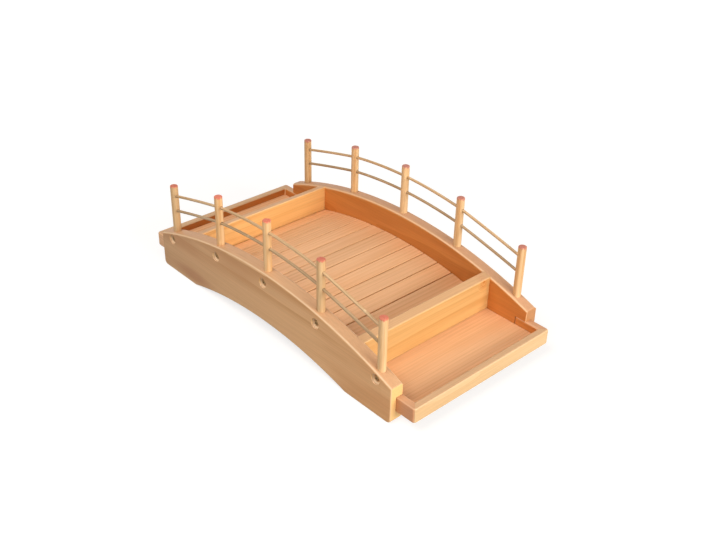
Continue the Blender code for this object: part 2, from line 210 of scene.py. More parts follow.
def birchDowel():
    s = birchSet
    material, tree, shader = newMaterial("turned birch dowel, tip dipped in rose stain")
    grain = addNode(tree, "Attribute", attribute_name="grain").outputs["Vector"]
    fleck = addNode(tree, "TexNoise", {
        "Vector": stretched(tree, grain, s["fleckLongMm"], s["fleckMm"]), "Scale": 1.0, "Detail": 3.0})
    streak = addNode(tree, "TexNoise", {
        "Vector": stretched(tree, grain, s["streakLongMm"], s["streakMm"]), "Scale": 1.0, "Detail": 2.0})
    streakFade = addNode(tree, "MapRange", {"Value": streak.outputs["Fac"], **span(s["streakSpread"])})
    fleckShade = addNode(tree, "MapRange", {
        "Value": fleck.outputs["Fac"], **span(s["fleckSpread"]), **span(s["fleckShade"], "To")})
    colour = mixColour(tree, streakFade.outputs[0], linear(s["pale"]), linear(s["honey"]))
    # grain.x is the distance below the top of the post
    below = addNode(tree, "SeparateXYZ", {0: grain}).outputs["X"]
    creep = addNode(tree, "TexNoise", {
        "Vector": stretched(tree, grain, s["creepLongMm"], s["creepMm"]), "Scale": 1.0, "Detail": 1.0})
    lower = addNode(tree, "MapRange", {
        "Value": creep.outputs["Fac"], **span(s["creepSpread"]),
        "To Min": mm(s["dipMm"] - s["dipRaggedMm"] / 2), "To Max": mm(s["dipMm"] + s["dipRaggedMm"] / 2)})
    depth = addNode(tree, "Math", {0: lower.outputs[0], 1: below}, operation="SUBTRACT")
    dipped = addNode(tree, "MapRange", {
        "Value": depth.outputs[0], "From Min": mm(-s["dipSoftMm"]), "From Max": mm(s["dipSoftMm"]),
        "To Max": s["dipShare"]}, interpolation_type="SMOOTHSTEP")
    dip = addNode(tree, "Attribute", attribute_name="dip").outputs["Fac"]
    stain = mixColour(tree, dip, linear(s["coral"]), linear(s["dusky"]))
    colour = mixColour(tree, dipped.outputs[0], colour, stain)
    tone = addNode(tree, "Attribute", attribute_name="tone").outputs["Fac"]
    shade = addNode(tree, "Math", {
        0: tone, 1: fleckShade.outputs[0], 2: fleckShade.outputs[0]}, operation="MULTIPLY_ADD")
    colour = addNode(tree, "VectorMath", {0: colour, "Scale": shade.outputs[0]}, operation="SCALE").outputs[0]
    tree.links.new(colour, shader.inputs["Base Color"])
    shader.inputs["Roughness"].default_value = s["rough"]
    shader.inputs["Specular IOR Level"].default_value = s["shine"]
    relief = addNode(tree, "Bump", {
        "Height": fleck.outputs["Fac"], "Distance": mm(s["reliefMm"]), "Strength": reliefStrength})
    tree.links.new(relief.outputs[0], shader.inputs["Normal"])
    return material


# Bent bamboo rod: split and drawn round, so long darker fibre bundles run its whole length, with a paler
# joint now and then.
bambooSet = {
    "light": "#e6c79c", "dark": "#bd9666", "bundleMm": 0.7, "bundleLongMm": 60, "bundleSpread": (0.36, 0.66),
    "jointEveryMm": 135, "jointMm": 2.5, "joint": "#eed4a8", "jointShare": 0.7,
    "reliefMm": 0.08, "rough": 0.5,
}


def bambooRod():
    s = bambooSet
    material, tree, shader = newMaterial("drawn bamboo rod, bent")
    grain = addNode(tree, "Attribute", attribute_name="grain").outputs["Vector"]
    bundle = addNode(tree, "TexNoise", {
        "Vector": stretched(tree, grain, s["bundleLongMm"], s["bundleMm"]), "Scale": 1.0, "Detail": 3.0})
    fade = addNode(tree, "MapRange", {"Value": bundle.outputs["Fac"], **span(s["bundleSpread"])})
    colour = mixColour(tree, fade.outputs[0], linear(s["light"]), linear(s["dark"]))
    along = addNode(tree, "SeparateXYZ", {0: grain}).outputs["X"]
    turn = addNode(tree, "Math", {0: along, 1: mm(s["jointEveryMm"])}, operation="PINGPONG").outputs[0]
    joint = addNode(tree, "MapRange", {
        "Value": turn, "From Min": mm(s["jointMm"]), "From Max": 0.0, "To Max": s["jointShare"]})
    colour = mixColour(tree, joint.outputs[0], colour, linear(s["joint"]))
    tone = addNode(tree, "Attribute", attribute_name="tone").outputs["Fac"]
    shade = addNode(tree, "Math", {0: tone, 1: 1.0}, operation="ADD")
    colour = addNode(tree, "VectorMath", {0: colour, "Scale": shade.outputs[0]}, operation="SCALE").outputs[0]
    tree.links.new(colour, shader.inputs["Base Color"])
    shader.inputs["Roughness"].default_value = s["rough"]
    relief = addNode(tree, "Bump", {
        "Height": bundle.outputs["Fac"], "Distance": mm(s["reliefMm"]), "Strength": reliefStrength})
    tree.links.new(relief.outputs[0], shader.inputs["Normal"])
    return material


# Bronzed steel, cold formed and tumbled: a dull warm metal with faint brighter rubs.
steelSet = {"deep": "#80643f", "rubbed": "#b0926a", "rubMm": 0.8, "rubSpread": (0.4, 0.7), "rough": 0.42}


def bronzedSteel():
    s = steelSet
    material, tree, shader = newMaterial("bronzed steel, tumbled")
    place = addNode(tree, "TexCoord").outputs["Object"]
    rub = addNode(tree, "TexNoise", {"Vector": place, "Scale": 1 / mm(s["rubMm"]), "Detail": 3.0})
    fade = addNode(tree, "MapRange", {"Value": rub.outputs["Fac"], **span(s["rubSpread"])})
    colour = mixColour(tree, fade.outputs[0], linear(s["deep"]), linear(s["rubbed"]))
    tree.links.new(colour, shader.inputs["Base Color"])
    shader.inputs["Metallic"].default_value = 1.0
    shader.inputs["Roughness"].default_value = s["rough"]
    return material


# The front board's end grain is paler than its face: painted highlight on its end faces and on the recess
# walls that face along it
frontPine = pine("planed pine, oiled, fair board", {
    "early": "#e4b580", "late": "#c99258", "patch": "#ca8f57", "mark": "#ad6226", "edge": "#f8dcb4",
    "endGrain": "#f4ca88", "lines": 0.95, "patches": 0.75, "rubbed": 0.85, "markCore": 0.75})
# The back board is ruddier and darker than the front: partly its own tone, partly painted shade on its top
backPine = pine("planed pine, oiled, ruddy board", {
    "early": "#d49c70", "late": "#bb7d4e", "patch": "#c38352", "edge": "#f6d2a4",
    "endGrain": "#bd8652", "lines": 0.6, "patches": 0.4, "rubbed": 0.8})
# Painted shade: faces that look into the bridge take this darker, more orange copy of the pine, for shade and
# warm bounce light
insideShadePine = pine("planed pine, inside faces in painted shade", {
    "early": "#d38a45", "late": "#bc712e", "patch": "#b76729", "mark": "#a95c28", "edge": "#f3c68d",
    "endGrain": "#b06a30", "lines": 0.7, "patches": 0.5, "rubbed": 0.7})
boardPine = pine("thin pine board, oiled", {
    "early": "#f1bf91", "late": "#daa46d", "patch": "#db9f6a", "edge": "#f3cb98",
    "endGrain": "#c08c58", "lines": 0.65, "patches": 0.4, "rubbed": 0.6})
railPine = pine("thin pine board, oiled, palest", {
    "early": "#e7c797", "late": "#d6ae79", "patch": "#d6a872", "edge": "#f6d6a8",
    "endGrain": "#c49260", "lines": 0.6, "patches": 0.35, "rubbed": 0.6})
dividerPine = pine("thin pine board, oiled, golden", {
    "early": "#d8ad70", "late": "#c28f4c", "patch": "#c78c47", "mark": "#bf7022", "edge": "#f1c78e",
    "endGrain": "#c08c58", "lines": 0.65, "patches": 0.4, "rubbed": 0.5,
    "markCore": 0.25, "markPushMm": 13.8})
cheekPine = pine("thin pine board, oiled, rosy", {
    "early": "#e2a272", "late": "#cb8957", "patch": "#ca8555", "edge": "#f0c299",
    "endGrain": "#b98457", "lines": 0.6, "patches": 0.4, "rubbed": 0.6})
birch = birchDowel()
bamboo = bambooRod()
steel = bronzedSteel()
print("materials ready")


def linked(name, data):
    piece = bpy.data.objects.new(name, data)
    scene.collection.objects.link(piece)
    return piece


def asMesh(bm):
    bmesh.ops.recalc_face_normals(bm, faces=bm.faces)
    mesh = bpy.data.meshes.new("shape")
    bm.to_mesh(mesh)
    bm.free()
    return mesh


def applyModifiers(piece):
    bpy.context.view_layer.update()
    made = bpy.data.meshes.new_from_object(piece.evaluated_get(bpy.context.evaluated_depsgraph_get()))
    piece.modifiers.clear()
    piece.data = made


def extruded(outline, plane, low, high):
    first, second = ("xyz".index(letter) for letter in plane)
    third = 3 - first - second
    bm = bmesh.new()
    rows = []
    for level in (low, high):
        row = []
        for a, b in outline:
            place = Vector()
            place[first], place[second], place[third] = a, b, level
            row.append(bm.verts.new(place))
        bm.faces.new(row)
        rows.append(row)
    for i in range(len(outline)):
        bm.faces.new((rows[0][i - 1], rows[0][i], rows[1][i], rows[1][i - 1]))
    return asMesh(bm)


def block(xRange, yRange, zRange):
    x0, x1 = sorted(xRange)
    y0, y1 = sorted(yRange)
    return extruded([(x0, y0), (x1, y0), (x1, y1), (x0, y1)], "xy", *sorted(zRange))


def turned(profile, sides):
    bm = bmesh.new()
    points = [bm.verts.new((radius, 0.0, height)) for radius, height in profile]
    edges = [bm.edges.new(pair) for pair in zip(points, points[1:])]
    bmesh.ops.spin(bm, geom=points + edges, axis=(0, 0, 1), angle=math.tau, steps=sides, use_merge=True)
    bmesh.ops.remove_doubles(bm, verts=bm.verts, dist=weld)
    return asMesh(bm)


def bendPoints(centre, radius, startDegrees, endDegrees, steps):
    turns = [math.radians(startDegrees + (endDegrees - startDegrees) * i / steps) for i in range(steps + 1)]
    return [(centre[0] + radius * math.cos(t), centre[1] + radius * math.sin(t)) for t in turns]


def arcPoints(radius, centreZ, halfWidth, steps):
    reach = math.asin(halfWidth / radius)
    angles = [reach * (2 * i / steps - 1) for i in range(steps + 1)]
    return [(radius * math.sin(a), centreZ + radius * math.cos(a)) for a in angles]


# Edges sharper than these angles are rounded over, or shaded as an edge
edgeSet = {"roundOver": math.radians(35), "shadeOver": math.radians(33), "steps": 4}
# Where a board's grain isn't given: its start along the tree, its distances from the pith and its tone
grainSet = {"shift": 3, "pith": ((0.035, 0.085), (0.02, 0.07)), "tone": 0.05}
# How squarely a face looks along an axis, for end grain, up, inward and flat, and how far a corner tilts
# before it is rubbed and takes the painted highlight. A ramp is the way from none to full.
faceSet = {
    "endFrom": 0.8, "endRamp": 0.15, "up": 0.5, "inward": 0.9, "flat": 0.985,
    "wearFrom": 0.07, "wearRamp": 0.15,
}


def soften(piece, radius, steps=edgeSet["steps"], share=None):
    # Rounds the sharp edges, or each edge by the share of the radius that share() gives for its two ends
    bevel = piece.modifiers.new("rounded edges", "BEVEL")
    bevel.width = radius
    bevel.segments = steps
    bevel.use_clamp_overlap = False
    bevel.limit_method = "ANGLE"
    bevel.angle_limit = edgeSet["roundOver"]
    if share:
        mesh = piece.data
        shares = [share(*(mesh.vertices[i].co for i in edge.vertices)) for edge in mesh.edges]
        mesh.attributes.new("bevel_weight_edge", "FLOAT", "EDGE").data.foreach_set("value", shares)
        bevel.limit_method = "WEIGHT"
    applyModifiers(piece)


def carve(piece, *shapes):
    bm = bmesh.new()
    for shape in shapes:
        bm.from_mesh(shape)
    cutter = linked("cutter", asMesh(bm))
    boolean = piece.modifiers.new("carve", "BOOLEAN")
    boolean.operation = "DIFFERENCE"
    boolean.solver = "EXACT"
    boolean.object = cutter
    applyModifiers(piece)
    bpy.data.objects.remove(cutter)


def note(piece, name, values):
    # One number for each point, or the same number for all of them
    mesh = piece.data
    numbers = values if isinstance(values, list) else [values] * len(mesh.vertices)
    attribute = mesh.attributes.get(name) or mesh.attributes.new(name, "FLOAT", "POINT")
    attribute.data.foreach_set("value", numbers)


def layGrain(piece, along, pith=None, start=None, tone=grainSet["tone"]):
    mesh = piece.data
    first, second, third = {"x": (0, 1, 2), "y": (1, 0, 2), "z": (2, 0, 1)}[along]
    shift = dice.uniform(-grainSet["shift"], grainSet["shift"]) if start is None else start
    away = pith or [dice.choice((-1, 1)) * dice.uniform(*limits) for limits in grainSet["pith"]]
    values = []
    for vertex in mesh.vertices:
        values += [vertex.co[first] + shift, vertex.co[second] + away[0], vertex.co[third] + away[1]]
    mesh.attributes.new("grain", "FLOAT_VECTOR", "POINT").data.foreach_set("vector", values)
    note(piece, "tone", dice.uniform(-tone, tone))


def markFace(piece, axes, centre, halfSize, depth):
    # A branch's mark: the way from its centre in halves of its size, and its depth of colour
    mesh = piece.data
    first, second = ("xyz".index(letter) for letter in axes)
    values = []
    for vertex in mesh.vertices:
        values.append((vertex.co[first] - centre[0]) / halfSize[0])
        values.append((vertex.co[second] - centre[1]) / halfSize[1])
        values.append(depth)
    mesh.attributes.new("mark", "FLOAT_VECTOR", "POINT").data.foreach_set("vector", values)


def ramp(value, start, width):
    return min(max((value - start) / width, 0.0), 1.0)


def finishFaces(piece, along, flatness, sheenShare=0.0):
    # The edge mask is 1 along the middle of each rounded edge and on the sloped walls of the recesses, and 0
    # on
    # the flats: partly sanding wear and partly painted highlight. The end-grain mask is 1 where the fibres
    # end. The up-face mask is the share of painted sheen on the faces that look up.
    s = faceSet
    mesh = piece.data
    axis = "xyz".index(along)
    wearAndHighlight, ends, paintedSheen = [0.0] * len(mesh.loops), [0.0] * len(mesh.loops), [0.0] * len(mesh.loops)
    for face in mesh.polygons:
        facing = ramp(abs(face.normal[axis]), s["endFrom"], s["endRamp"])
        for loop in face.loop_indices:
            ends[loop] = facing
            paintedSheen[loop] = sheenShare if face.normal.z > s["up"] else 0.0
            if flatness(face.normal) < s["flat"]:
                tilt = 1 - flatness(mesh.vertices[mesh.loops[loop].vertex_index].normal)
                wearAndHighlight[loop] = ramp(tilt, s["wearFrom"], s["wearRamp"])
    for name, values in (("edgeWearAndHighlight", wearAndHighlight), ("endGrain", ends), ("paintedSheen", paintedSheen)):
        mesh.attributes.new(name, "FLOAT", "CORNER").data.foreach_set("value", values)


def squareness(normal):
    return max(abs(normal.x), abs(normal.y), abs(normal.z))


def panelSquareness(normal):
    return max(abs(normal.y), math.hypot(normal.x, normal.z))


def settle(piece, node, material, inward=None):
    # The faces that look inward, along that direction, take the darker, more orange inside colour: painted
    # shade and painted warm bounce light
    mesh = piece.data
    mesh.materials.clear()
    mesh.materials.append(material)
    if inward:
        mesh.materials.append(insideShadePine)
        for face in mesh.polygons:
            face.material_index = int(face.normal.dot(inward) > faceSet["inward"])
    mesh.shade_smooth()
    mesh.set_sharp_from_angle(angle=edgeSet["shadeOver"])
    weighted = piece.modifiers.new("even shading", "WEIGHTED_NORMAL")
    weighted.keep_sharp = True
    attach(piece, "root")
    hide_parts(node)


# Side panels: the arched top, flat feet, and the shallow arch between them. Each screw lies in a dished
# recess. The branch's mark is on the front panel alone.
panelSet = {
    "endHeight": mm(47.5), "footLength": mm(72.5), "heelRadius": mm(6), "archRise": mm(19.5),
    "topRound": {"inner": mm(3.6), "front": mm(3.0), "back": mm(6.0)}, "edgeRound": mm(1.6),
    "arcSteps": 96, "heelSteps": 12, "roundSteps": 6,
    "recessRadius": mm(7.0), "recessFloor": mm(2.6), "recessDepth": mm(3.5), "recessLip": mm(0.4),
    "recessSteps": 8, "recessSides": 40, "housingDepth": mm(3), "housingStop": mm(6),
    "pith": {"front": (-0.062, -0.028), "back": (0.058, -0.034)},
    "markAt": (-0.148, 0.013), "markHalf": (0.060, 0.014), "markDepth": 0.7,
    "leftShade": {"front": 0.18, "back": 0.0},
}
panelLow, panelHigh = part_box("back_side_panel")
halfLength = panelHigh.x
innerY, outerY = panelLow.y, panelHigh.y
postY = (innerY + outerY) / 2
crownRise = panelHigh.z - panelSet["endHeight"]
topRadius = (halfLength**2 + crownRise**2) / (2 * crownRise)
arcCentreZ = panelHigh.z - topRadius

# Posts, from the frame's own places. The tenon and seat are hidden in the panel.
postSet = {
    "diameter": mm(10), "height": mm(66), "topRound": mm(0.9), "topCrown": mm(0.25), "seatDepth": mm(3.5),
    "tenonDiameter": mm(7), "tenonDepth": mm(19), "screwDrop": {"end": mm(9.5), "mid": mm(14.5)},
    "count": 5, "sides": 48, "rimSteps": 5, "boreSides": 32,
    "dip": {"front": (0.0, 0.5), "back": (0.6, 1.0)},
    # Each post's tone is partly its own and partly painted light and shade, matched to how bright each post
    # stands; the left and back posts are darker
    "tone": {"front": (-0.12, 0.09, 0.08, -0.08, 0.0), "back": (-0.12, -0.05, -0.05, -0.05, -0.03)},
}
postPlaces = []
for number in range(1, postSet["count"] + 1):
    low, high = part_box(f"back_post_{number}")
    postPlaces.append((low.x + high.x) / 2)

# Rails: thin rods bent to the arc of the panel's top edge. In the end spans they spring back, and keep only a
# share of the arc's bow.
railSet = {
    "diameter": mm(3.5), "heights": {"upper": mm(51), "lower": mm(30)}, "endBow": 0.35, "pastAxis": mm(1.5),
    # The lower rails are darker than the upper ones: painted shade
    "steps": 180, "sides": 20, "boreSides": 24, "tone": {"upper": 0.0, "lower": -0.28},
}

# Screws, pan head with a cross recess, at the bottom of the recesses
screwSet = {
    "head": mm(6), "headHeight": mm(1.5), "shank": mm(3), "pastAxis": mm(2), "slotWidth": mm(0.9),
    "slotLength": mm(3.4), "slotDepth": mm(0.8), "domeShare": 0.7, "domeSteps": 5,
    "sides": 40, "boreSides": 20,
}

# Trays, dividers and deck, with what the frame doesn't tell directly. The mark is the right divider's knot.
traySet = {
    "rimThickness": mm(10), "cornerRadius": mm(4), "cornerSteps": 8, "edgeRound": mm(2.1),
    "grooveDepth": mm(4), "floorRound": mm(0.4), "floorSteps": 2, "floorPith": (0.02, 0.06),
}
dividerSet = {
    # The left divider's tone is raised: painted light, for the light that reaches it less
    "edgeRound": mm(1.5), "pith": (0.06, 0.03), "tone": {"left": 0.20, "right": 0.0},
    "markAt": (0.0905, 0.0630), "markHalf": (0.011, 0.014), "markDepth": 1.0,
}
deckSet = {
    "drop": mm(34), "slatThickness": mm(6), "slatGap": mm(1.2), "slatRound": mm(1.0), "slatTone": 0.08,
    "ledgeHeight": mm(8), "ledgeSteps": 72, "ledgeRound": mm(0.7), "ledgeRoundSteps": 3,
}
trayLow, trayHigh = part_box("right_end_rail")
floorLow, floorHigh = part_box("right_tray_floor")
cheekLow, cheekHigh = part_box("right_back_tray_cheek")
dividerLow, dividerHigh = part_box("right_divider")


def topHeight(x):
    return arcCentreZ + math.sqrt(topRadius**2 - x**2)


def railLift(x):
    lastX, nextX = postPlaces[-1], postPlaces[-2]
    beyond = abs(x) - nextX
    if beyond <= 0:
        return topHeight(x)
    near, far = topHeight(nextX), topHeight(lastX)
    chord = near + (far - near) * beyond / (lastX - nextX)
    return chord + railSet["endBow"] * (topHeight(x) - chord)


def railTilt(x, reach):
    return math.atan2(railLift(x - reach) - railLift(x + reach), 2 * reach)


def screwDrop(x):
    return postSet["screwDrop"]["end" if abs(x) > halfLength / 2 else "mid"]


def housingTop():
    return topHeight(dividerHigh.x) - panelSet["housingStop"]


roundedPanels = {}  # each panel before its bores, to scribe the dividers' shoulders to


def makePanel(sideName, material):
    side = sideSigns[sideName]
    s = panelSet
    radius = s["heelRadius"]
    heel = bendPoints((halfLength - radius, radius), radius, -90, 0, s["heelSteps"])
    halfSpan = halfLength - s["footLength"]
    archRadius = (halfSpan**2 + s["archRise"]**2) / (2 * s["archRise"])
    arch = arcPoints(archRadius, s["archRise"] - archRadius, halfSpan, s["arcSteps"])
    crown = arcPoints(topRadius, arcCentreZ, halfLength, s["arcSteps"])
    outline = [(-x, z) for x, z in reversed(heel)] + arch + heel + crown[::-1]
    faces = sorted((side * innerY, side * outerY))
    piece = linked(f"{sideName}_side_panel_sanded", extruded(outline, "xz", *faces))

    broadest = max(s["topRound"].values())

    def share(first, second):
        lower = min(first.z, second.z) < s["endHeight"] - seam
        along = abs(first.y - second.y) < seam
        corner = not lower and abs(first.x) > halfLength - seam
        if along and not lower:
            return s["topRound"]["inner" if abs(first.y) < postY else sideName] / broadest
        return s["edgeRound"] / broadest if along or corner else 0.0

    soften(piece, broadest, s["roundSteps"], share)
    roundedPanels[sideName] = piece.data.copy()

    postRadius, tenonRadius = postSet["diameter"] / 2 + hair, postSet["tenonDiameter"] / 2 + hair
    seat, bottom = -postSet["seatDepth"] - hair, -postSet["tenonDepth"] - hair
    bore = [(0.0, bottom), (tenonRadius, bottom), (tenonRadius, seat), (postRadius, seat),
            (postRadius, past), (0.0, past)]
    depth, lip, floorRadius = s["recessDepth"], s["recessLip"], s["recessFloor"]
    width = s["recessRadius"] - lip - floorRadius
    dish = (width**2 + depth**2) / (2 * depth)
    steepest = math.degrees(math.asin(width / dish))
    pilot, pilotEnd = screwSet["shank"] / 2 + hair, postY - outerY
    recess = [(0.0, pilotEnd), (pilot, pilotEnd), (pilot, -depth)]
    recess += bendPoints((floorRadius, dish - depth), dish, -90, steepest - 90, s["recessSteps"])
    recess += [(s["recessRadius"], lip), (s["recessRadius"], past), (0.0, past)]
    inside, outside = [], []
    for x in postPlaces:
        shape = turned(bore, postSet["boreSides"])
        shape.transform(Matrix.Translation((x, side * postY, topHeight(x))))
        inside.append(shape)
        shape = turned(recess, s["recessSides"])
        place = Matrix.Translation((x, side * outerY, topHeight(x) - screwDrop(x)))
        shape.transform(place @ Matrix.Rotation(-side * math.radians(90), 4, "X"))
        outside.append(shape)
    openSide = side * (innerY - past)
    for end in endSigns.values():
        inside.append(block(
            (end * (dividerLow.x - seam), end * (dividerHigh.x + seam)),
            (openSide, side * (innerY + s["housingDepth"])), (dividerLow.z - seam, housingTop() + seam)))
        inside.append(block(
            (end * (cheekLow.x - seam), end * (halfLength + past)),
            (openSide, side * (cheekHigh.y + seam)), (cheekLow.z - seam, cheekHigh.z + seam)))
    carve(piece, *inside)
    carve(piece, *outside)
    layGrain(piece, "x", s["pith"][sideName], tone=0.0)
    # Painted shade: the front board's outer face darkens toward its left end, where less light falls
    fade = s["leftShade"][sideName] / halfLength
    points = piece.data.vertices
    note(piece, "tone", [fade * point.co.x * max(side * point.normal.y, 0.0) for point in points])
    if sideName == "front":
        markFace(piece, "xz", s["markAt"], s["markHalf"], s["markDepth"])
    finishFaces(piece, "x", panelSquareness, rimSheen)
    settle(piece, f"{sideName}_side_panel", material, Vector((0, -side, 0)))


def makePost(sideName, number):
    side = sideSigns[sideName]
    s = postSet
    x = postPlaces[number - 1]
    radius, tenon, top = s["diameter"] / 2, s["tenonDiameter"] / 2, s["height"]
    bottom, seat = -s["tenonDepth"] - top, -s["seatDepth"] - top
    rounding = s["topRound"]
    rimCentre = (radius - rounding, -rounding - s["topCrown"])
    rim = bendPoints(rimCentre, rounding, 0, 90, s["rimSteps"])
    profile = [(0.0, bottom), (tenon, bottom), (tenon, seat), (radius, seat)] + rim + [(0.0, 0.0)]
    piece = linked(f"{sideName}_post_{number}_turned", turned(profile, s["sides"]))
    lie = Matrix.Rotation(math.radians(90) + railTilt(x, radius), 4, "Y")
    lowX = -railSet["pastAxis"] - hair if number == 1 else -s["diameter"]
    highX = railSet["pastAxis"] + hair if number == s["count"] else s["diameter"]
    railRadius = railSet["diameter"] / 2 + hair
    bore = [(0.0, lowX), (railRadius, lowX), (railRadius, highX), (0.0, highX)]
    cutters = []
    for height in railSet["heights"].values():
        hole = turned(bore, railSet["boreSides"])
        hole.transform(Matrix.Translation((0, 0, height - top)) @ lie)
        cutters.append(hole)
    pilot, tip = screwSet["shank"] / 2 + hair, -screwSet["pastAxis"] - hair
    bore = [(0.0, tip), (pilot, tip), (pilot, s["diameter"]), (0.0, s["diameter"])]
    hole = turned(bore, screwSet["boreSides"])
    turn = Matrix.Rotation(-side * math.radians(90), 4, "X")
    hole.transform(Matrix.Translation((0, 0, -top - screwDrop(x))) @ turn)
    carve(piece, *cutters, hole)
    flip = Matrix.Rotation(math.radians(180), 4, "X")
    piece.data.transform(flip)  # so that z is the distance below the top
    layGrain(piece, "z", (dice.uniform(-1, 1), dice.uniform(-1, 1)), 0.0)
    note(piece, "dip", dice.uniform(*s["dip"][sideName]))
    note(piece, "tone", s["tone"][sideName][number - 1])
    piece.data.transform(Matrix.Translation((x, side * postY, topHeight(x) + top)) @ flip)
    settle(piece, f"{sideName}_post_{number}", birch)


def makeRail(sideName, level):
    s = railSet
    end = postPlaces[-1] + s["pastAxis"]
    step = 2 * end / s["steps"]
    shift = dice.uniform(0, 1)
    bm = bmesh.new()
    rings, grainValues = [], []
    for i in range(s["steps"] + 1):
        x = step * i - end
        tilt = railTilt(x, step)
        ring = []
        for k in range(s["sides"]):
            turn = math.tau * k / s["sides"]
            across, up = s["diameter"] / 2 * math.cos(turn), s["diameter"] / 2 * math.sin(turn)
            ring.append(bm.verts.new((
                x + up * math.sin(tilt), sideSigns[sideName] * postY + across,
                railLift(x) + s["heights"][level] + up * math.cos(tilt))))
            grainValues += [x + shift, across + shift, up]
        rings.append(ring)
    for first, second in zip(rings, rings[1:]):
        for k in range(s["sides"]):
            bm.faces.new((first[k - 1], first[k], second[k], second[k - 1]))
    bm.faces.new(rings[0])
    bm.faces.new(rings[-1])
    piece = linked(f"{sideName}_{level}_rail_bent", asMesh(bm))
    piece.data.attributes.new("grain", "FLOAT_VECTOR", "POINT").data.foreach_set("vector", grainValues)
    note(piece, "tone", s["tone"][level])
    settle(piece, f"{sideName}_{level}_rail", bamboo)


def makeScrew(sideName, number):
    side = sideSigns[sideName]
    s = screwSet
    x = postPlaces[number - 1]
    head, shank, top = s["head"] / 2, s["shank"] / 2, s["headHeight"]
    seatY = outerY - panelSet["recessDepth"] + hair
    reach = seatY - postY + s["pastAxis"]
    curve = top * s["domeShare"]
    dome = bendPoints((head - curve, top - curve), curve, 0, 90, s["domeSteps"])
    profile = [(0.0, -reach), (shank, -reach), (shank, 0.0), (head, 0.0)] + dome + [(0.0, top)]
    piece = linked(f"{sideName}_post_screw_{number}_driven", turned(profile, s["sides"]))
    long, wide = s["slotLength"] / 2, s["slotWidth"] / 2
    cross = [(wide, wide), (long, wide), (long, -wide), (wide, -wide), (wide, -long), (-wide, -long),
             (-wide, -wide), (-long, -wide), (-long, wide), (-wide, wide), (-wide, long), (wide, long)]
    recess = extruded(cross, "xy", top - s["slotDepth"], top + past)
    recess.transform(Matrix.Rotation(dice.uniform(0, math.tau), 4, "Z"))
    carve(piece, recess)
    place = Matrix.Translation((x, side * seatY, topHeight(x) - screwDrop(x)))
    piece.data.transform(place @ Matrix.Rotation(-side * math.radians(90), 4, "X"))
    settle(piece, f"{sideName}_post_screw_{number}", steel)


def makeDivider(endName):
    end = endSigns[endName]
    s = dividerSet
    rear, front = end * dividerLow.x, end * dividerHigh.x
    outline = [(rear, dividerLow.z), (front, dividerLow.z)]
    outline += [(front, topHeight(front)), (rear, topHeight(rear))]
    reach = dividerHigh.y
    piece = linked(f"{endName}_divider_sanded", extruded(outline, "xz", -reach, reach))
    soften(piece, s["edgeRound"])
    shoulders = []
    for sideName, side in sideSigns.items():
        shoulder = linked("shoulder", roundedPanels[sideName].copy())
        carve(shoulder, block((-halfLength - past, halfLength + past),
                              (side * (innerY - past), side * (outerY + past)), (-past, housingTop())))
        shoulder.data.transform(Matrix.Translation((0, -side * seam, 0)))
        shoulders.append(shoulder.data)
        bpy.data.objects.remove(shoulder)
    groove = block((front - end * traySet["grooveDepth"], front + end * past), (-innerY, innerY),
                   (floorLow.z - hair, floorHigh.z + hair))
    carve(piece, groove, *shoulders)
    layGrain(piece, "y", (end * s["pith"][0], s["pith"][1]), tone=0.0)
    note(piece, "tone", s["tone"][endName])
    if endName == "right":
        markFace(piece, "yz", s["markAt"], s["markHalf"], s["markDepth"])
    finishFaces(piece, "y", squareness, rimSheen)
    settle(piece, f"{endName}_divider", dividerPine)


def rimShape(end):
    # The tray's whole rim in plan, a U with rounded outer corners, before it is cut at the mitres
    radius, steps = traySet["cornerRadius"], traySet["cornerSteps"]
    start, outerX, rimY = cheekLow.x, trayHigh.x, trayHigh.y
    innerX = outerX - traySet["rimThickness"]
    front = bendPoints((outerX - radius, radius - rimY), radius, -90, 0, steps)
    back = bendPoints((outerX - radius, rimY - radius), radius, 0, 90, steps)
    outline = [(start, -rimY)] + front + back + [(start, rimY), (start, innerY), (innerX, innerY)]
    outline += [(innerX, -innerY), (start, -innerY)]
    return extruded([(end * x, y) for x, y in outline], "xy", trayLow.z, trayHigh.z)


